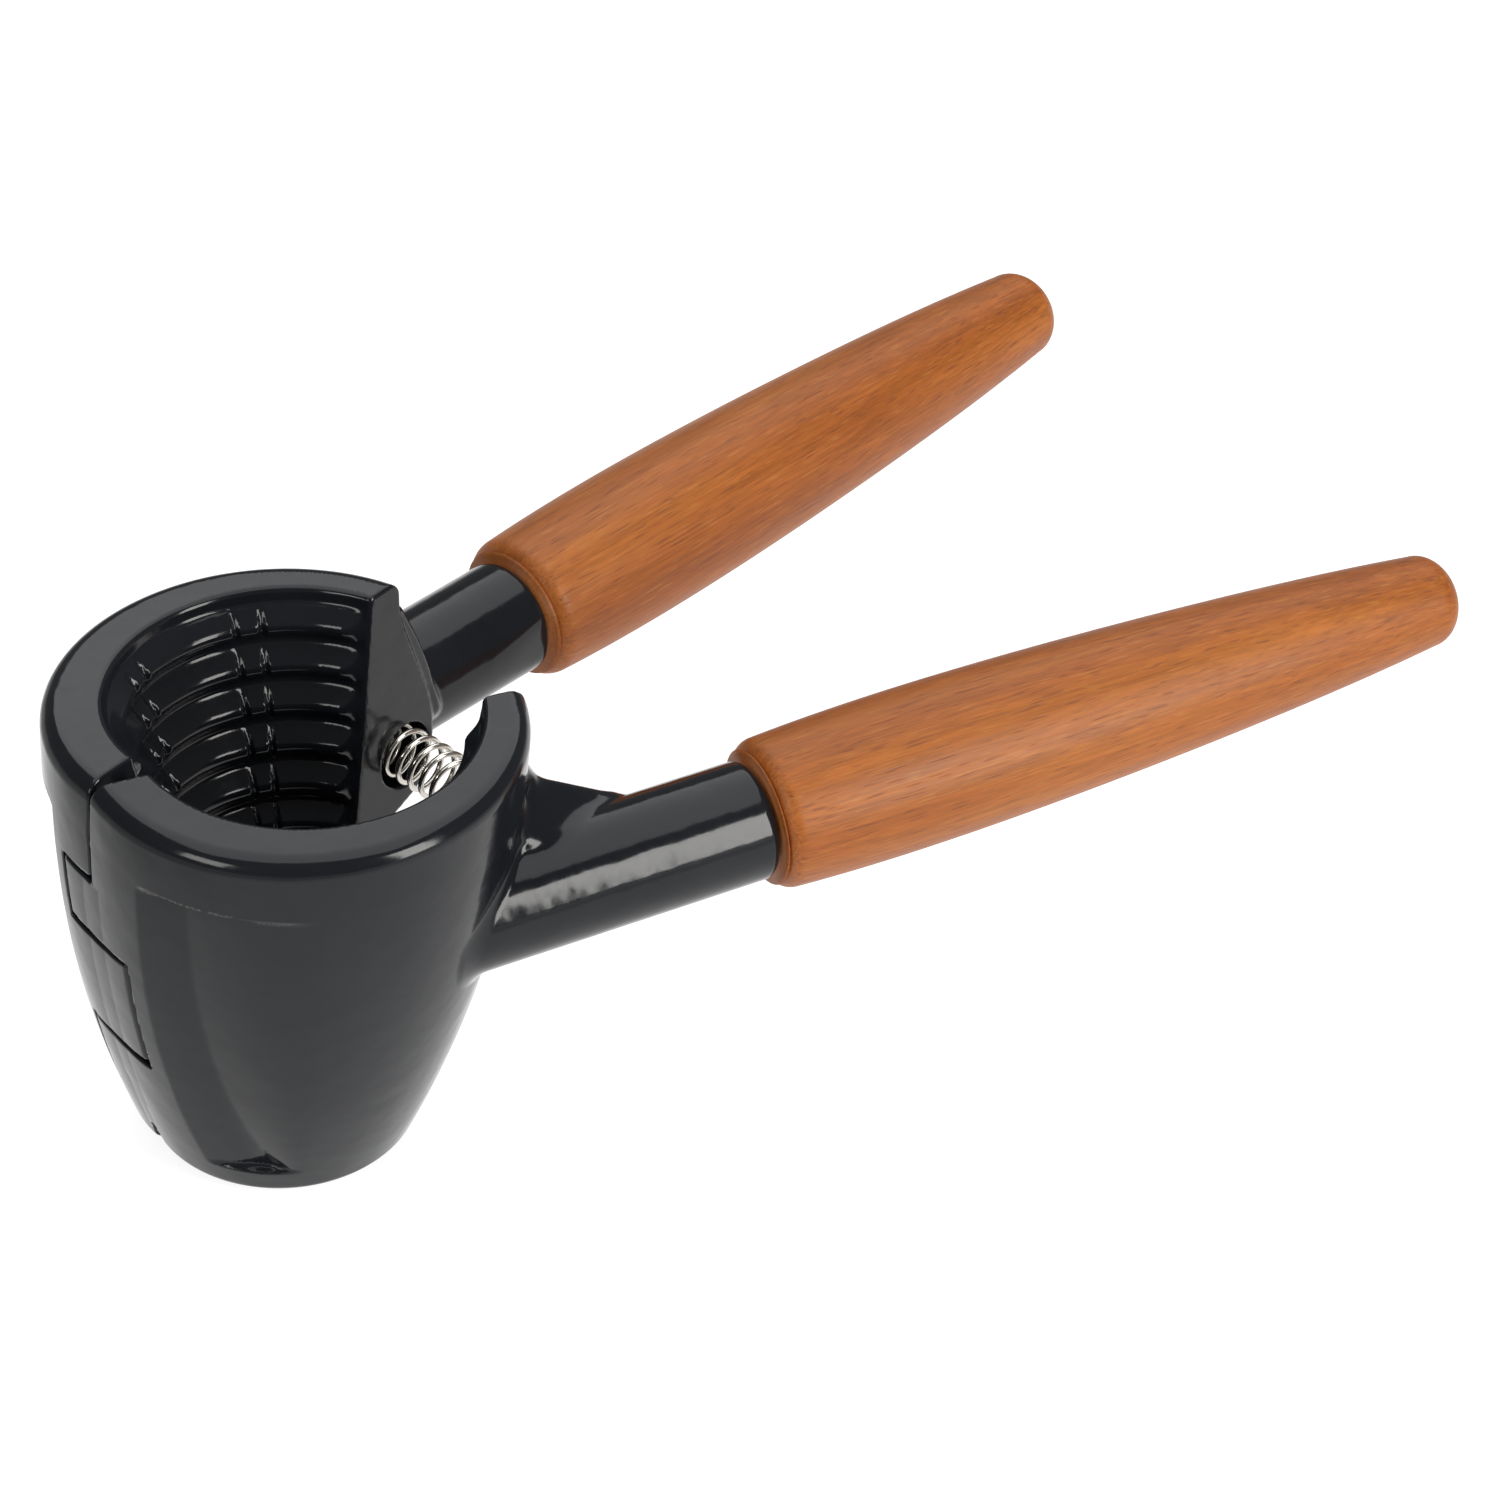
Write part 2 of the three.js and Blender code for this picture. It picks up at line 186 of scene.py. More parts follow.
# ---------- frames ----------
HINGE = np.array(frame["joints"][0]["pos_m"], float) / MM
ORIGIN = HINGE - np.array([HINGE_X, 0, 0])
HINGE_DIRECTION = np.array([-math.sin(HINGE_LEAN), 0, math.cos(HINGE_LEAN)])


def turn_about_hinge(points, angle):
    """Points of the jaw frame turned about the hinge axis."""
    arm = points - np.array([HINGE_X, 0, 0])
    axis = HINGE_DIRECTION
    along = (arm @ axis)[:, None] * axis * (1 - math.cos(angle))
    turned = arm * math.cos(angle) + np.cross(axis, arm) * math.sin(angle) + along
    return turned + np.array([HINGE_X, 0, 0])


def jaw_matrix(side):
    """Matrix from a jaw's own frame, in metres, to the row frame."""
    turn = Matrix.Rotation(side * OPEN / 2, 4, Vector(HINGE_DIRECTION))
    there = Matrix.Translation(Vector(HINGE * MM))
    back = Matrix.Translation(Vector((-HINGE_X * MM, 0, 0)))
    return there @ turn @ back


def arm_matrix(side):
    """Matrix from the arm's axis frame (+Z out along the arm) to the row frame."""
    place = Matrix.Translation(Vector((0, side * ARM_Y, ARM_Z)) * MM)
    inwards = Matrix.Rotation(-side * ARM_INWARDS, 4, "Z")
    tip = Matrix.Rotation(math.pi / 2 - ARM_RISE, 4, "Y")
    return jaw_matrix(side) @ place @ inwards @ tip


# ---------- implicit shapes: negative inside ----------
def cut(a, b, r):
    """Intersection of two shapes with its edge rounded to radius r."""
    edge = np.hypot(np.maximum(a + r, 0), np.maximum(b + r, 0))
    return np.minimum(-r, np.maximum(a, b)) + edge


def join(a, b, r):
    """Union of two shapes with a fillet of radius r."""
    return -cut(-a, -b, r)


def soft_ramp(t, width):
    """max(0, t) with its corner rounded over a half-width."""
    inner = (t + width) ** 2 / (4 * width)
    return np.where(t < -width, 0, np.where(t > width, t, inner))


def smooth(t):
    t = np.clip(t, 0, 1)
    return t * t * (3 - 2 * t)


def flank_depth(z):
    """Depth below the straight part of the cup's wall."""
    return np.clip(-z - CUP_STRAIGHT, 0, DEEPEST)


def wall_radius(z):
    return CUP_RADIUS - CUP_FLANK + np.sqrt(CUP_FLANK**2 - flank_depth(z) ** 2)


def cup_drift(z):
    return CUP_DRIFT * soft_ramp(-z, DRIFT_ROUNDING) / CUP_HEIGHT


def panel_recess(across, angle, edge_angle, z):
    """How deep the side panel is let in beside the hinge lug."""
    span = PANEL_EDGE - LUG_HALF
    beside_lug = soft_ramp(across - LUG_HALF, PANEL_ROUNDING[0])
    slope = beside_lug - soft_ramp(across - PANEL_EDGE, PANEL_ROUNDING[1])
    fade = 1 - smooth((angle - edge_angle) / (PANEL_FADE_END - edge_angle))
    under_collar = smooth((COLLAR_FOOT - z) / PANEL_STEP + 0.5)
    above_foot = smooth((z - PANEL_FOOT) / PANEL_STEP + 0.5)
    return PANEL_DEPTH * slope / span * fade * under_collar * above_foot


def cup_outside(x, y, z, offset):
    """The outside of one half of the cup, as a whole body; y is positive into the material."""
    wall = wall_radius(z)
    centre = offset * wall / CUP_RADIUS
    dx = x - cup_drift(z)
    dy = y - centre
    radius = np.hypot(dx, dy)
    angle = np.arctan2(dy, -dx)
    edge_angle = np.arcsin(np.clip((PANEL_EDGE - centre) / wall, -1, 1))
    recess = np.where(dy > 0, panel_recess(y, np.abs(angle), edge_angle, z), 0)
    slope = flank_depth(z) / CUP_FLANK
    side = (radius - wall + recess) * np.sqrt(1 - slope**2)
    return cut(cut(side, z, RIM_FILLET), -CUP_HEIGHT - z, BASE_FILLET)


def rib_table():
    """Height of the ribs over one pitch, down from the top of a crest, with soft corners."""
    down = np.linspace(0, RIB_PITCH, RIB_SAMPLES, endpoint=False)
    table = np.interp(down, RIB_CORNERS, RIB_HEIGHTS)
    kernel = np.hanning(2 * RIB_SMOOTHING + 1)
    kernel /= kernel.sum()
    wrapped = np.concatenate([table[-RIB_SMOOTHING:], table, table[:RIB_SMOOTHING]])
    return down, np.convolve(wrapped, kernel, "valid")


RIB_DOWN, RIB_SHAPE = rib_table()


def rib_height(z, angle):
    down = np.mod(RIB_FIRST - z, RIB_PITCH)
    shape = np.interp(down, RIB_DOWN, RIB_SHAPE)
    lowest = RIB_FIRST - (RIB_COUNT - 0.5) * RIB_PITCH
    rows = smooth((RIB_TOP - z) / RIB_ROW_FADE) * smooth((z - lowest) / RIB_ROW_FADE)
    degrees = np.degrees(angle)
    start = smooth((degrees - RIB_ENDS[0]) / RIB_END_FADES[0])
    along = start * smooth((RIB_ENDS[1] - degrees) / RIB_END_FADES[1])
    for middle in RIB_NOTCHES:
        notch = smooth((NOTCH_HALF - np.abs(degrees - middle)) / NOTCH_HALF)
        along = along * (1 - NOTCH_DEPTH * notch)
    return RIB_HEIGHT * shape * rows * along


def cup_hollow(x, y, z):
    """The ribbed hollow of one half cup."""
    down = np.clip(-z, 0, DEEPEST)
    plain = MOUTH_RADIUS - HOLLOW_TAPER * down
    dx = x - MOUTH_CENTRE - HOLLOW_DRIFT * np.minimum(HOLLOW_DRIFT_END, down)
    dy = y - MOUTH_OFFSET * plain
    angle = np.arctan2(np.maximum(dy, 0), dx)
    wall = np.hypot(dx, dy) - (plain - rib_height(z, angle))
    return cut(wall * HOLLOW_SLANT, -HOLLOW_DEPTH - z, HOLLOW_FOOT)


def arm_frame(x, y, z):
    """Distance along the arm's axis and distance from it."""
    cos_in, sin_in = math.cos(ARM_INWARDS), math.sin(ARM_INWARDS)
    cos_up, sin_up = math.cos(ARM_RISE), math.sin(ARM_RISE)
    dy, dz = y - ARM_Y, z - ARM_Z
    level = x * cos_in - dy * sin_in
    sideways = x * sin_in + dy * cos_in
    along = level * cos_up + dz * sin_up
    upwards = -level * sin_up + dz * cos_up
    return along, np.hypot(sideways, upwards)


def arm_solid(x, y, z):
    along, out = arm_frame(x, y, z)
    return cut(cut(out - ARM_RADIUS, along - ARM_END, ARM_SHOULDER), ARM_START - along, EDGE)


def arm_bore(x, y, z):
    """The bore in the arm's end that takes the stud."""
    along, out = arm_frame(x, y, z)
    return np.maximum(out - STUD_RADIUS - CLEARANCE, ARM_END - STUD_IN_ARM - CLEARANCE - along)


def outline_distance(x, z, outline, r):
    """A convex outline of [x, z] corners, clockwise, as a prism along y with rounded corners."""
    value = None
    for (x0, z0), (x1, z1) in zip(outline, outline[1:] + outline[:1]):
        length = math.hypot(x1 - x0, z1 - z0)
        normal = (-(z1 - z0) / length, (x1 - x0) / length)
        plane = (x - x0) * normal[0] + (z - z0) * normal[1]
        value = plane if value is None else cut(value, plane, r)
    return value


PAD = {
    1: [[16, -3], [28.4, -4.2], [30.2, -10], [33.8, -21], [33.6, -29], [30.5, -34.5], [16, -40]],
    -1: [[16, -8], [28.0, -10.6], [33.6, -21], [33.5, -28], [29, -34], [16, -39]],
}
GUSSET = {
    1: [[22, -1], [29.6, -4.4], [33.9, -14], [35.8, -22], [36, -28], [22, -28]],
    -1: [[18, -6.6], [27.0, -11.2], [40.8, -18.9], [41.2, -26], [18, -26]],
}
GUSSET_SPAN = {1: (1.0, 8.0), -1: (2.6, 11.5)}
GUSSET_FALL = {1: 0.0, -1: 0.6}  # how the web's top falls away from the split face
PAD_THICKNESS = {1: 10.0, -1: 6.6}


def jaw_blank(x, y, z, side):
    """Half cup with pad, gusset and arm, hollowed out, and the spring's pocket that is still to
    be cut from it; y is positive into the material."""
    outside = cup_outside(x, y, z, CUP_OFFSET)
    low, high = GUSSET_SPAN[side]
    fallen = z + GUSSET_FALL[side] * soft_ramp(y - FALL_START, FALL_ROUNDING)
    pad = outline_distance(x, fallen, PAD[side], OUTLINE_CORNER)
    pad = cut(pad, y - PAD_THICKNESS[side], PAD_BACK)
    web = outline_distance(x, fallen, GUSSET[side], OUTLINE_CORNER)
    web = cut(web, low - y, WEB_SPLIT_SIDE)
    web = cut(web, y - high, WEB_BACK)
    web = cut(web, ARM_Z - z, WEB_FOOT)
    arm = join(arm_solid(x, y, z), web, WEB_TO_ARM)
    arm = join(arm, pad, PAD_TO_ARM)
    body = join(outside, arm, ARM_TO_CUP)
    body = cut(body, -cup_hollow(x, y, z), HOLLOW_EDGE)
    body = cut(body, -arm_bore(x, y, z), BORE_EDGE)
    pocket = np.hypot(x - POCKET_X, z - POCKET_Z) - POCKET_RADIUS
    return body, cut(pocket, y - POCKET_DEPTH, POCKET_FLOOR)


def hinge_polar(points):
    """Distance down the hinge axis from the rim, and distance from the axis."""
    arm = points - np.array([HINGE_X, 0, 0])
    down = -(arm @ HINGE_DIRECTION)
    return down, np.linalg.norm(arm + down[:, None] * HINGE_DIRECTION, axis=1)


def jaw_field(side):
    """Field of one jaw as a function of points in the shared rest frame (jaw-frame units)."""

    def field(points):
        own = turn_about_hinge(points, -side * OPEN / 2)
        other = turn_about_hinge(points, side * OPEN / 2)
        x, y, z = own[:, 0], side * own[:, 1], own[:, 2]
        body, pocket = jaw_blank(x, y, z, side)
        # The split plane, and the stop plane beyond the hinge axis where the two jaws meet.
        split = HALF_GAP - y
        stop = HALF_GAP - side * points[:, 1]
        body = cut(body, split, EDGE)
        body = cut(body, stop, STOP_EDGE)
        body = cut(body, -pocket, POCKET_EDGE)
        # The knuckles fill the shape that the two half cups make together at rest.
        whole = cup_outside(points[:, 0], np.abs(points[:, 1]), points[:, 2], 0.0)
        for jaw, sign in ((own, side), (other, -side)):
            inwards = sign * jaw[:, 1]
            half_cup = cup_outside(
                jaw[:, 0], np.maximum(inwards, BEHIND_SPLIT), jaw[:, 2], CUP_OFFSET
            )
            whole = np.minimum(whole, np.maximum(half_cup, -inwards))
        down, out = hinge_polar(points)
        for i, (top, foot) in enumerate(zip(KNUCKLE_CUTS, KNUCKLE_CUTS[1:])):
            owner = -1 if i % 2 == 0 else 1
            slab = np.abs(z - (top + foot) / 2) - (top - foot) / 2
            if owner == side:
                barrel = cut(whole, out - KNUCKLE_RADIUS, KNUCKLE_EDGE)
                barrel = cut(barrel, slab + KNUCKLE_GAP / 2, KNUCKLE_EDGE)
                body = np.minimum(body, barrel)
            else:
                around = out - KNUCKLE_RADIUS - CLEARANCE
                slot = cut(around, slab - KNUCKLE_GAP / 2, SLOT_CORNER)
                body = cut(body, -slot, KNUCKLE_EDGE)
        bore = np.abs(down - PIN_MIDDLE) - PIN_HALF - PIN_END_ROOM
        bore = np.maximum(out - PIN_BORE, bore)
        drift_hole = np.maximum(out - DRIFT_HOLE, PIN_MIDDLE - down)
        body = cut(body, -bore, PIN_EDGE)
        return cut(body, -drift_hole, PIN_EDGE)

    return field


# ---------- meshes ----------
BLOCK = 6  # cells along a block's side
HALF_DIAGONAL = 0.87
NEAR_MARGIN = 1.25
NEAR_SLACK = 1.8  # for rounded edges, where a field is only roughly a distance
COARSE_PARTS = 8
BLOCKS_AT_ONCE = 900


def sample_grid(field, low, step, counts):
    """Field values on a grid. Only blocks near the surface are worked out in full."""
    block = BLOCK
    blocks = -(-counts // block)
    reach = block * step
    centres = [low[k] + reach * (np.arange(blocks[k]) + 0.5) - step / 2 for k in range(3)]
    coarse = np.stack(np.meshgrid(*centres, indexing="ij"), -1).reshape(-1, 3)
    rough = np.concatenate([field(part) for part in np.array_split(coarse, COARSE_PARTS)])
    near_limit = reach * HALF_DIAGONAL * NEAR_MARGIN + NEAR_SLACK
    near = np.nonzero(np.abs(rough) < near_limit)[0]
    values = rough.reshape(blocks)
    for axis in range(3):
        values = np.repeat(values, block, axis)
    offsets = np.stack(np.meshgrid(*[np.arange(block)] * 3, indexing="ij"), -1).reshape(-1, 3)
    starts = np.stack(np.unravel_index(near, blocks), -1) * block
    for part in np.array_split(starts, max(1, len(starts) // BLOCKS_AT_ONCE)):
        cells = (part[:, None, :] + offsets[None]).reshape(-1, 3)
        values[cells[:, 0], cells[:, 1], cells[:, 2]] = field(low + step * cells)
    return values[: counts[0], : counts[1], : counts[2]]


def gradient(field, points):
    h = 0.02
    result = np.empty_like(points)
    for k in range(3):
        shift = np.zeros(3)
        shift[k] = h
        result[:, k] = (field(points + shift) - field(points - shift)) / (2 * h)
    return result


ROUNDS = 4  # of drawing the vertices onto the surface and evening them out
ROUND_PULL = 0.6  # the most that a vertex moves in one pull, in grid steps
LAST_PULL = 0.3
EVENING = 0.5
LEAST_SLOPE = 0.25  # squared, so that a pull stays small where the field is flat


def surface_net(field, low, high, step):
    """Quads on the zero level of a field: one vertex in each crossed cell, drawn onto the
    surface and evened out along it. Returns vertices, quads and unit normals."""
    low = np.array(low, float)
    counts = np.ceil((np.array(high, float) - low) / step).astype(int) + 1
    values = sample_grid(field, low, step, counts)
    inside = values < 0
    total = int(np.prod(counts))
    sums = np.zeros((3, total))
    hits = np.zeros(total)
    edges = []
    for axis in range(3):
        a = [slice(None)] * 3
        b = [slice(None)] * 3
        a[axis] = slice(0, -1)
        b[axis] = slice(1, None)
        first, second = values[tuple(a)], values[tuple(b)]
        index = np.stack(np.nonzero(inside[tuple(a)] != inside[tuple(b)]), -1)
        v0 = first[tuple(index.T)]
        v1 = second[tuple(index.T)]
        point = index.astype(float)
        point[:, axis] += v0 / (v0 - v1)
        side_axes = [(axis + 1) % 3, (axis + 2) % 3]
        cells = []
        for da, db in ((0, 0), (1, 0), (1, 1), (0, 1)):
            cell = index.copy()
            cell[:, side_axes[0]] -= da
            cell[:, side_axes[1]] -= db
            flat = np.ravel_multi_index(tuple(cell.T), tuple(counts))
            cells.append(flat)
            hits += np.bincount(flat, minlength=total)
            for k in range(3):
                sums[k] += np.bincount(flat, weights=point[:, k], minlength=total)
        quad = np.stack(cells, -1)
        outward = v0 < 0
        quad[~outward] = quad[~outward][:, ::-1]
        edges.append(quad)
    used = np.nonzero(hits)[0]
    number = np.full(total, -1)
    number[used] = np.arange(len(used))
    vertices = low + step * (sums[:, used] / hits[used]).T
    quads = number[np.concatenate(edges)]

    def pull(points, most):
        value = field(points)
        slope = gradient(field, points)
        move = -slope * (value / np.maximum((slope**2).sum(1), LEAST_SLOPE))[:, None]
        size = np.linalg.norm(move, axis=1, keepdims=True)
        return points + move * np.minimum(1, most / np.maximum(size, 1e-9))

    starts = quads.T.ravel()
    ends = np.roll(quads, -1, axis=1).T.ravel()
    count = len(vertices)
    degree = np.bincount(starts, minlength=count) + np.bincount(ends, minlength=count)
    for turn in range(ROUNDS):
        vertices = pull(vertices, step * ROUND_PULL)
        if turn < ROUNDS - 1:
            mean = np.zeros_like(vertices)
            for k in range(3):
                mean[:, k] += np.bincount(starts, vertices[ends, k], count)
                mean[:, k] += np.bincount(ends, vertices[starts, k], count)
            mean /= degree[:, None]
            vertices += EVENING * (mean - vertices)
    vertices = pull(vertices, step * LAST_PULL)
    normals = gradient(field, vertices)
    normals /= np.maximum(np.linalg.norm(normals, axis=1, keepdims=True), 1e-9)
    return vertices, quads, normals


def linked_object(name, mesh):
    """A smooth shaded object of a mesh."""
    mesh.polygons.foreach_set("use_smooth", np.ones(len(mesh.polygons), bool))
    obj = bpy.data.objects.new(name, mesh)
    bpy.context.scene.collection.objects.link(obj)
    return obj


def make_mesh(name, vertices, faces, normals=None):
    """An object from vertices in metres and faces of one size."""
    mesh = bpy.data.meshes.new(name)
    faces = np.asarray(faces, np.int32)
    count, size = faces.shape
    mesh.vertices.add(len(vertices))
    mesh.vertices.foreach_set("co", np.asarray(vertices, np.float32).ravel())
    mesh.loops.add(count * size)
    mesh.loops.foreach_set("vertex_index", faces.ravel())
    mesh.polygons.add(count)
    mesh.polygons.foreach_set("loop_start", np.arange(0, count * size, size, dtype=np.int32))
    mesh.update(calc_edges=True)
    mesh.validate()
    obj = linked_object(name, mesh)
    if normals is not None:
        mesh.normals_split_custom_set_from_vertices(normals)
    return obj


def tube_faces(rings, around):
    """Quads between rings of vertices, and triangles from the first and last ring to one vertex
    each, which come after all the rings."""
    here = np.arange(around)
    after = (here + 1) % around
    faces = []
    for a in range(0, (rings - 1) * around, around):
        b = a + around
        faces += np.stack([a + here, a + after, b + after, b + here], -1).tolist()
    last = (rings - 1) * around
    low, high = rings * around, rings * around + 1
    faces += np.stack([after, here, np.full(around, low)], -1).tolist()
    faces += np.stack([last + here, last + after, np.full(around, high)], -1).tolist()
    return faces


def turned_mesh(name, profile, segments, place):
    """A body turned about +Z from [radius, z] points in mm, on the axis at both ends, then put
    in its place in the row frame. Its own coordinates are kept as the attribute "grain"."""
    profile = np.array(profile, float)
    angle = np.arange(segments) * 2 * math.pi / segments
    rings = profile[1:-1]
    x = rings[:, :1] * np.cos(angle)
    y = rings[:, :1] * np.sin(angle)
    z = np.repeat(rings[:, 1:], segments, 1)
    vertices = np.stack([x, y, z], -1).reshape(-1, 3)
    vertices = np.concatenate([vertices, [[0, 0, profile[0, 1]], [0, 0, profile[-1, 1]]]]) * MM
    mesh = bpy.data.meshes.new(name)
    mesh.from_pydata(vertices.tolist(), [], tube_faces(len(rings), segments))
    grain = mesh.attributes.new("grain", "FLOAT_VECTOR", "POINT")
    grain.data.foreach_set("vector", vertices.astype(np.float32).ravel())
    mesh.transform(place)
    return linked_object(name, mesh)


def rounded(profile, radius, steps=7):
    """A polyline of [radius, z] points with its listed corners rounded. radius has one value a
    corner, 0 for a point that stays."""
    result = []
    for i, point in enumerate(profile):
        r = radius[i]
        if r == 0:
            result.append(point)
            continue
        here = np.array(point, float)
        to_last = np.array(profile[i - 1]) - here
        to_next = np.array(profile[i + 1]) - here
        to_last /= np.linalg.norm(to_last)
        to_next /= np.linalg.norm(to_next)
        half = math.acos(np.clip(to_last @ to_next, -1, 1)) / 2
        reach = r / math.tan(half)
        middle = (to_last + to_next) / np.linalg.norm(to_last + to_next)
        centre = here + middle * r / math.sin(half)
        start = here + to_last * reach - centre
        end = here + to_next * reach - centre
        for k in range(steps + 1):
            t = k / steps
            v = start * (1 - t) + end * t
            result.append(list(centre + v / np.linalg.norm(v) * r))
    return result


# ---------- materials ----------
COLOUR_A, COLOUR_B = 6, 7  # a colour mix node's own sockets


class Finish:
    """A material, with short calls for the nodes that the finishes share."""

    def __init__(self, name):
        self.material = bpy.data.materials.new(name)
        self.material.use_nodes = True
        self.nodes = self.material.node_tree.nodes
        self.links = self.material.node_tree.links
        self.shader = self.nodes["Principled BSDF"]

    def feed(self, node, inputs):
        """Links each input to another node's output, or sets its own value."""
        for name, value in inputs.items():
            if isinstance(value, bpy.types.NodeSocket):
                self.links.new(value, node.inputs[name])
            else:
                node.inputs[name].default_value = value

    def add(self, kind, inputs):
        node = self.nodes.new(kind)
        self.feed(node, inputs)
        return node

    def surface(self, inputs):
        """Sets up the shader, and returns the finished material."""
        self.feed(self.shader, inputs)
        return self.material

    def space(self, scale=(1, 1, 1), attribute=None):
        """Mapping of coordinates in metres: the piece's own, or those kept in an attribute."""
        if attribute:
            place = self.nodes.new("ShaderNodeAttribute")
            place.attribute_name = attribute
            vector = place.outputs["Vector"]
        else:
            vector = self.nodes.new("ShaderNodeTexCoord").outputs["Object"]
        return self.add("ShaderNodeMapping", {"Vector": vector, "Scale": scale})

    def noise(self, mapping, scale, detail, roughness, distortion=0.0):
        inputs = {"Vector": mapping.outputs["Vector"], "Scale": scale, "Detail": detail}
        inputs.update({"Roughness": roughness, "Distortion": distortion})
        return self.add("ShaderNodeTexNoise", inputs).outputs["Fac"]

    def ramp(self, factor, stops):
        """Colours over a factor. A stop is a position and a colour or a grey."""
        node = self.add("ShaderNodeValToRGB", {"Fac": factor})
        elements = node.color_ramp.elements
        while len(elements) < len(stops):
            elements.new(0.5)
        for element, (position, colour) in zip(elements, stops):
            element.position = position
            element.color = (*colour, 1) if isinstance(colour, tuple) else (colour,) * 3 + (1,)
        return node.outputs["Color"]

    def spread(self, value, ends, results, interpolation="LINEAR"):
        """A value carried from one range to another."""
        inputs = {"Value": value, "From Min": ends[0], "From Max": ends[1]}
        inputs.update({"To Min": results[0], "To Max": results[1]})
        node = self.add("ShaderNodeMapRange", inputs)
        node.interpolation_type = interpolation
        return node.outputs["Result"]

    def mix(self, factor, below, above, kind="MIX"):
        node = self.nodes.new("ShaderNodeMix")
        node.data_type = "RGBA"
        node.blend_type = kind
        if isinstance(above, tuple):
            above = (*above, 1)
        self.feed(node, {"Factor": factor, COLOUR_A: below, COLOUR_B: above})
        return node.outputs[2]

    def calculate(self, operation, *values):
        node = self.nodes.new("ShaderNodeMath")
        node.operation = operation
        self.feed(node, dict(enumerate(values)))
        return node.outputs[0]

    def bump(self, height, strength, distance, below=None):
        inputs = {"Height": height, "Strength": strength, "Distance": distance}
        if below is not None:
            inputs["Normal"] = below
        return self.add("ShaderNodeBump", inputs).outputs["Normal"]


def lacquer_material():
    """Thick glossy black lacquer over a casting: faint flow waves, and slight dust in its gloss."""
    finish = Finish("black_lacquer")
    place = finish.space()
    patches = finish.noise(place, scale=60, detail=4, roughness=0.55)
    dust = finish.noise(place, scale=900, detail=5, roughness=0.6)
    waves = finish.noise(place, scale=230, detail=1.5, roughness=0.45)
    thin, thick = (0.0092, 0.0102, 0.0124), (0.0062, 0.0072, 0.0092)
    flow = finish.bump(waves, strength=0.5, distance=0.00018)
    return finish.surface(
        {
            "Base Color": finish.ramp(patches, [(0.3, thick), (0.7, thin)]),
            "Roughness": finish.spread(dust, (0.35, 0.75), (0.10, 0.17)),
            "IOR": 1.34,
            "Coat Weight": 0.05,
            "Coat Roughness": 0.03,
            "Normal": finish.bump(dust, strength=0.12, distance=0.00003, below=flow),
            "Coat Normal": flow,
        }
    )


def wood_material():
    """Orange-brown turned hardwood: long streaks, fine fibres and short dark pores along +Z."""
    finish = Finish("turned_wood")
    broad = finish.space((1, 1, 0.10), "grain")
    fine = finish.space((1, 1, 0.035), "grain")
    short = finish.space((1, 1, 0.075), "grain")
    tone = finish.noise(broad, scale=120, detail=4, roughness=0.55, distortion=0.6)
    streaks = finish.noise(fine, scale=700, detail=5, roughness=0.65, distortion=0.25)
    fibres = finish.noise(fine, scale=2600, detail=3, roughness=0.6)
    pores = finish.noise(short, scale=3000, detail=1, roughness=0.4)

    dark, middle, light = (0.262, 0.070, 0.010), (0.300, 0.086, 0.0135), (0.345, 0.110, 0.019)
    colour = finish.ramp(tone, [(0.30, dark), (0.5, middle), (0.70, light)])
    streak_tone = finish.ramp(streaks, [(0.32, 0.36), (0.5, 0.5), (0.68, 0.62)])
    colour = finish.mix(0.55, colour, streak_tone, "OVERLAY")
    fibre_tone = finish.ramp(fibres, [(0.35, 0.36), (0.65, 0.62)])
    colour = finish.mix(0.5, colour, fibre_tone, "OVERLAY")
    pore_mask = finish.spread(pores, (0.62, 0.72), (0.0, 0.5))
    colour = finish.mix(pore_mask, colour, (0.13, 0.032, 0.010))
    fleck_mask = finish.spread(pores, (0.38, 0.28), (0.0, 0.3))
    colour = finish.mix(fleck_mask, colour, (0.46, 0.19, 0.045))

    grain = finish.bump(fibres, strength=0.25, distance=0.00006)
    pits = finish.spread(pores, (0.6, 0.74), (1.0, 0.0))
    return finish.surface(
        {
            "Base Color": colour,
            "Roughness": finish.spread(streaks, (0.3, 0.7), (0.40, 0.52)),
            "IOR": 1.36,
            "Normal": finish.bump(pits, strength=0.35, distance=0.00008, below=grain),
        }
    )


def steel_material(name, tone, roughness, scratch):
    """Drawn steel wire or rod, slightly uneven in tone and gloss."""
    finish = Finish(name)
    patches = finish.noise(finish.space(), scale=1500, detail=4, roughness=0.6)
    dull = tuple(0.86 * c for c in tone)
    gloss = (roughness * 0.8, roughness * 1.3)
    return finish.surface(
        {
            "Base Color": finish.ramp(patches, [(0.3, dull), (0.7, tone)]),
            "Metallic": 1.0,
            "Roughness": finish.spread(patches, (0.3, 0.7), gloss),
            "Normal": finish.bump(patches, strength=scratch, distance=0.00004),
        }
    )


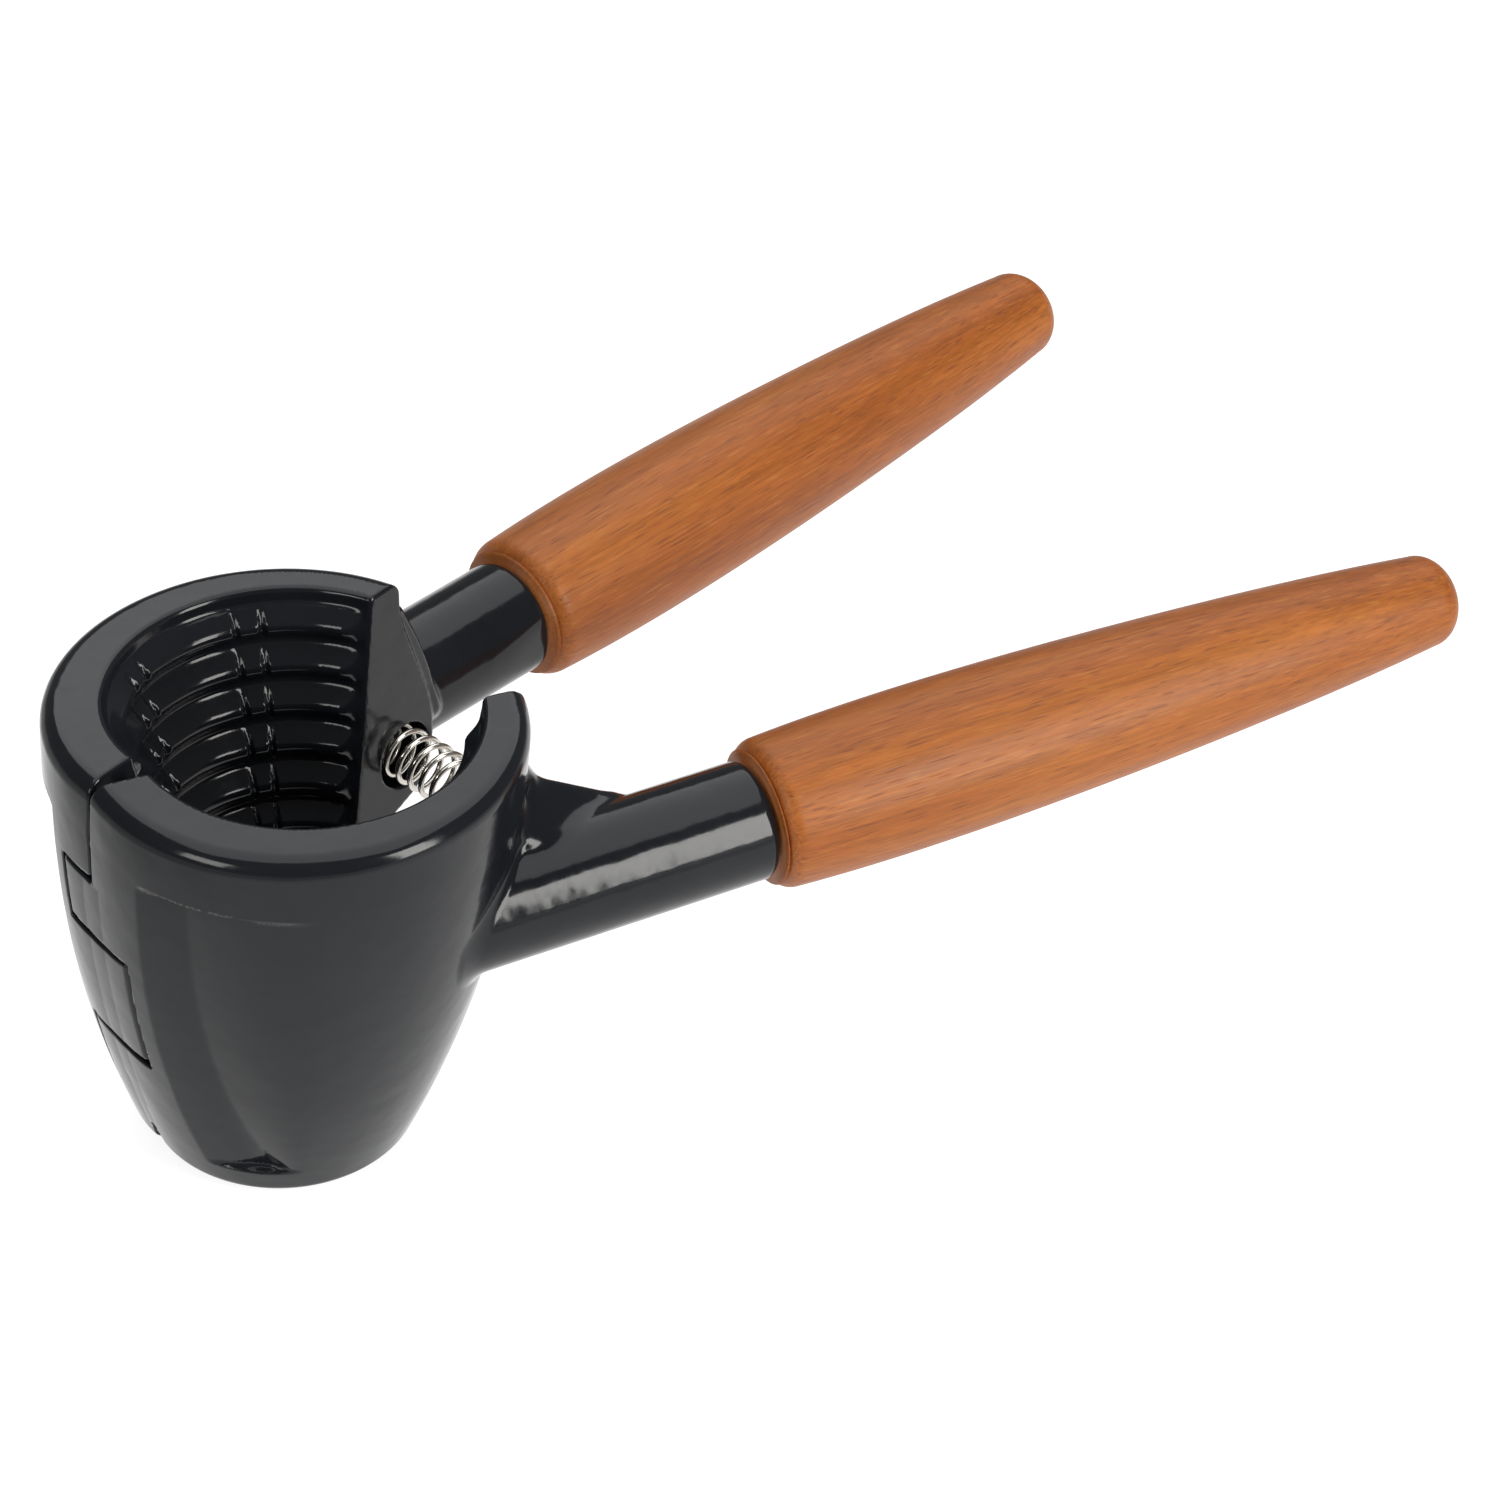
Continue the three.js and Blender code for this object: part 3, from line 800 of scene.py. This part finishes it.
def floor_material():
    """Pale floor with a soft-edged pool of light around the object."""
    finish = Finish("studio_floor")
    place = finish.space()
    place.inputs["Rotation"].default_value = (0, 0, POOL_TURN)
    place.inputs["Location"].default_value = (-POOL_MIDDLE[0], -POOL_MIDDLE[1], 0)
    patches = finish.noise(place, scale=3, detail=2, roughness=0.5)
    split = finish.add("ShaderNodeSeparateXYZ", {"Vector": place.outputs["Vector"]})
    powers = []
    for axis, radius in zip("XY", POOL_RADII):
        share = finish.calculate("DIVIDE", split.outputs[axis], radius)
        share = finish.calculate("ABSOLUTE", share)
        powers.append(finish.calculate("POWER", share, POOL_SQUARENESS))
    reach = finish.calculate("POWER", finish.calculate("ADD", *powers), 1 / POOL_SQUARENESS)
    pool = finish.spread(reach, (1, POOL_FADE), (1, 0), "SMOOTHSTEP")
    return finish.surface(
        {
            "Base Color": finish.ramp(patches, [(0.3, 0.29), (0.7, 0.31)]),
            "Roughness": 0.9,
            "Emission Color": (1, 1, 1, 1),
            "Emission Strength": finish.spread(pool, (0, 1), POOL_STRENGTH),
        }
    )


LACQUER = lacquer_material()
WOOD = wood_material()
SPRING_STEEL = steel_material("spring_steel", (0.66, 0.63, 0.58), roughness=0.18, scratch=0.2)
PIN_STEEL = steel_material("pin_steel", (0.62, 0.62, 0.62), roughness=0.3, scratch=0.4)


def finish_piece(piece, material, slot, body, *nodes):
    piece.data.materials.append(material)
    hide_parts(*nodes)
    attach(piece, body)


# ---------- jaws ----------
STEP = 0.43
# The space that holds a jaw. Its y range is for the rear jaw, and is mirrored for the front one.
JAW_X, JAW_Y, JAW_Z = (-40, 62), (-12, 50), (-66, 3)

for prefix, side in SIDES.items():
    y_range = JAW_Y if side > 0 else (-JAW_Y[1], -JAW_Y[0])
    low, high = zip(JAW_X, y_range, JAW_Z)
    points, quads, normals = surface_net(jaw_field(side), low, high, STEP)
    jaw = make_mesh(prefix + "_jaw_casting", (points + ORIGIN) * MM, quads, normals)
    finish_piece(jaw, LACQUER, "black_lacquer", prefix, prefix + "_jaw")


# ---------- grips and studs ----------
HEAD_STEPS, SIDE_POINTS, TIP_STEPS = 10, 110, 16
GRIP_SEGMENTS, STUD_SEGMENTS, PIN_SEGMENTS = 120, 48, 40
DRILL_POINT, DRILL_CORNER = 1.2, 0.4


def grip_radius(part):
    return np.polyval(GRIP_RADII, part)


def grip_profile():
    """Out of the bore, round the end that meets the arm, and along the side to the tip."""
    bore = STUD_RADIUS + CLEARANCE
    bottom = STUD_IN_GRIP + CLEARANCE
    points = [[0, bottom + DRILL_POINT], [bore - DRILL_CORNER, bottom]]
    points += [[bore, z] for z in (STUD_IN_GRIP - 0.5, 20, 8, 1)]
    mouth = rounded([[bore, 1], [bore, 0], [GRIP_FACE, 0]], [0, GRIP_BORE_CORNER, 0], 4)
    points += mouth[1:]
    for k in range(1, HEAD_STEPS + 1):
        a = k / HEAD_STEPS * math.pi / 2
        z = GRIP_HEAD * (1 - math.cos(a))
        radius = float(grip_radius(z / GRIP_LENGTH)) - GRIP_HEAD * (1 - math.sin(a))
        points.append([radius, z])
    parts = np.linspace(GRIP_SIDE_START, GRIP_TIP, SIDE_POINTS)
    points += [[float(grip_radius(p)), p * GRIP_LENGTH] for p in parts]
    # The tip is half an ellipsoid.
    for a in np.linspace(0, math.pi / 2, TIP_STEPS + 1)[1:-1]:
        part = GRIP_TIP + (1 - GRIP_TIP) * math.sin(a)
        points.append([float(grip_radius(GRIP_TIP)) * math.cos(a), part * GRIP_LENGTH])
    points.append([0, GRIP_LENGTH])
    return points


def stud_profile():
    """A rod with shallow thread turns at both ends."""
    points = [[0, -STUD_IN_ARM], [STUD_RADIUS - STUD_CHAMFER, -STUD_IN_ARM]]
    z = -STUD_IN_ARM + STUD_CHAMFER
    while z < STUD_IN_GRIP - STUD_END_ROOM:
        plain = STUD_PLAIN[0] <= z <= STUD_PLAIN[1]
        crest = STUD_RADIUS - SHANK_DEPTH if plain else STUD_RADIUS
        root = crest if plain else STUD_RADIUS - THREAD_DEPTH
        points += [[crest, z], [root, z + THREAD_PITCH / 2]]
        z += THREAD_PITCH
    points += [[STUD_RADIUS - STUD_CHAMFER, STUD_IN_GRIP], [0, STUD_IN_GRIP]]
    return points


for prefix, side in SIDES.items():
    on_arm = arm_matrix(side) @ Matrix.Translation((0, 0, GRIP_START * MM))
    turned_to = on_arm @ Matrix.Rotation(side * GRIP_GRAIN_TURN, 4, "Z")
    grip = turned_mesh(prefix + "_turned_grip", grip_profile(), GRIP_SEGMENTS, turned_to)
    finish_piece(grip, WOOD, "turned_wood", prefix, prefix + "_grip")
    stud = turned_mesh(prefix + "_threaded_stud", stud_profile(), STUD_SEGMENTS, on_arm)
    finish_piece(stud, PIN_STEEL, "pin_steel", prefix, prefix + "_stud")

# ---------- hinge pin ----------
pin_length = PIN_SPAN[1] - PIN_SPAN[0]
pin_corners = [[0, 0], [PIN_RADIUS, 0], [PIN_RADIUS, pin_length], [0, pin_length]]
pin_foot = Matrix.Translation(Vector((HINGE - HINGE_DIRECTION * PIN_SPAN[1]) * MM))
pin_place = pin_foot @ Matrix.Rotation(-HINGE_LEAN, 4, "Y")
pin_profile = rounded(pin_corners, [0, PIN_CHAMFER, PIN_CHAMFER, 0], 5)
pin = turned_mesh("hinge_pin_rod", pin_profile, PIN_SEGMENTS, pin_place)
finish_piece(pin, PIN_STEEL, "pin_steel", "front", "hinge_pin")


# ---------- spring ----------
def spring_mesh(name):
    """Round wire wound along an arc about the hinge. Returns the piece and each vertex's share
    of the way along it."""
    reach = POCKET_X - HINGE_X
    half = OPEN / 2 + (POCKET_DEPTH - SPRING_SEAT) / reach
    t = np.linspace(0, 1, SPRING_TURNS * SPRING_STEPS + 1)
    # The wire rises evenly along the arc, and only a little in its flat ends.
    flat = SPRING_FLAT_END
    rise = SPRING_WIRE * SPRING_FLAT_RISE / reach
    share = np.clip((t - flat) / (1 - 2 * flat), 0, 1)
    sweep = -half + rise * np.clip(t / flat, 0, 1) + (2 * half - 2 * rise) * share
    sweep += rise * np.clip((t - 1 + flat) / flat, 0, 1)
    turn = t * SPRING_TURNS * 2 * math.pi

    def on_arc(distance, height):
        x, y = HINGE_X + distance * np.cos(sweep), distance * np.sin(sweep)
        return np.stack([x, y, np.broadcast_to(height, t.shape)], -1)

    path = on_arc(reach + SPRING_RADIUS * np.cos(turn), POCKET_Z + SPRING_RADIUS * np.sin(turn))
    tangent = np.gradient(path, axis=0)
    tangent /= np.linalg.norm(tangent, axis=1, keepdims=True)
    outwards = path - on_arc(reach, POCKET_Z)
    outwards -= (outwards * tangent).sum(1, keepdims=True) * tangent
    outwards /= np.linalg.norm(outwards, axis=1, keepdims=True)
    sideways = np.cross(tangent, outwards)
    angle = np.arange(SPRING_AROUND) * 2 * math.pi / SPRING_AROUND
    ring = outwards[:, None] * np.cos(angle)[None, :, None]
    ring = ring + sideways[:, None] * np.sin(angle)[None, :, None]
    tube = (path[:, None] + SPRING_WIRE * ring).reshape(-1, 3)
    ends = np.stack([path[0] - tangent[0] * SPRING_CAP, path[-1] + tangent[-1] * SPRING_CAP])
    vertices = (np.concatenate([tube, ends]) + ORIGIN) * MM
    mesh = bpy.data.meshes.new(name)
    mesh.from_pydata(vertices.tolist(), [], tube_faces(len(t), SPRING_AROUND))
    along = np.repeat((sweep + half) / (2 * half), SPRING_AROUND)
    return linked_object(name, mesh), np.concatenate([along, [0, 1]])


spring, spring_share = spring_mesh("coil_spring")
spring.data.materials.append(SPRING_STEEL)
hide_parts("return_spring")
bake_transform(spring)

# ---------- floor, light and camera ----------
FLOOR_HALF = 3.0
FLOOR_DROP = 0.0004  # keeps the floor clear of the cup's foot
WORLD_STRENGTH = 0.17
LIT_POINT = (-0.02, 0, 0.03)

corners = np.array([[-1, -1, 0], [1, -1, 0], [1, 1, 0], [-1, 1, 0]]) * FLOOR_HALF
floor = make_mesh("studio_floor", corners - [0, 0, FLOOR_DROP], [[0, 1, 2, 3]])
floor.data.materials.append(floor_material())

scene = bpy.context.scene
scene.view_settings.view_transform = "Standard"
world = bpy.data.worlds.new("studio")
scene.world = world
world.use_nodes = True
background = world.node_tree.nodes["Background"]
background.inputs["Color"].default_value = (0.97, 0.985, 1.0, 1)
background.inputs["Strength"].default_value = WORLD_STRENGTH


def softbox(name, azimuth, elevation, distance, size, power, colour=(1, 1, 1)):
    """An area light of a size in metres and a power in watts that faces the cup from a direction,
    in degrees, and a distance in metres."""
    light = bpy.data.lights.new(name, "AREA")
    light.shape = "RECTANGLE"
    light.size, light.size_y = size
    light.energy = power
    light.color = colour
    lamp = bpy.data.objects.new(name, light)
    scene.collection.objects.link(lamp)
    az, el = math.radians(azimuth), math.radians(elevation)
    towards = Vector((math.sin(az) * math.cos(el), -math.cos(az) * math.cos(el), math.sin(el)))
    target = Vector(LIT_POINT)
    lamp.location = target + towards * distance
    lamp.rotation_euler = (lamp.location - target).to_track_quat("Z", "Y").to_euler()


softbox("overhead_panel", azimuth=143, elevation=69, distance=1.2, size=(1.6, 1.92), power=18)
softbox(
    "left_panel",
    azimuth=-78,
    elevation=26,
    distance=1.0,
    size=(0.34, 0.34),
    power=2.6,
    colour=(1.0, 0.99, 0.97),
)
softbox(
    "front_panel",
    azimuth=17,
    elevation=21,
    distance=1.0,
    size=(0.32, 0.72),
    power=9.0,
    colour=(1.0, 0.985, 0.955),
)

# The camera looks at the shared rim centre from a distance in millimetres, panned sideways and up.
VIEW_AZIMUTH = math.radians(-36.73)
VIEW_ELEVATION = math.radians(37.36)
VIEW_ROLL = math.radians(0.53)
VIEW_DISTANCE = 697.1
VIEW_PAN = (-58.99, 5.86)
VIEW_LENS = 131.77
VIEW_SENSOR = 36

sin_az, cos_az = math.sin(VIEW_AZIMUTH), math.cos(VIEW_AZIMUTH)
sin_el, cos_el = math.sin(VIEW_ELEVATION), math.cos(VIEW_ELEVATION)
back = Vector((sin_az * cos_el, -cos_az * cos_el, sin_el))
level = Vector((cos_az, sin_az, 0))
upright = back.cross(level)
right = level * math.cos(VIEW_ROLL) + upright * math.sin(VIEW_ROLL)
up = -level * math.sin(VIEW_ROLL) + upright * math.cos(VIEW_ROLL)
eye = Vector(ORIGIN) + back * VIEW_DISTANCE - right * VIEW_PAN[0] - up * VIEW_PAN[1]
camera_data = bpy.data.cameras.new("camera")
camera_data.lens = VIEW_LENS
camera_data.sensor_width = VIEW_SENSOR
camera_data.clip_start = 0.01
camera = bpy.data.objects.new("camera", camera_data)
scene.collection.objects.link(camera)
facing = Matrix((right, up, back)).transposed().to_4x4()
camera.matrix_world = Matrix.Translation(eye * MM) @ facing
scene.camera = camera
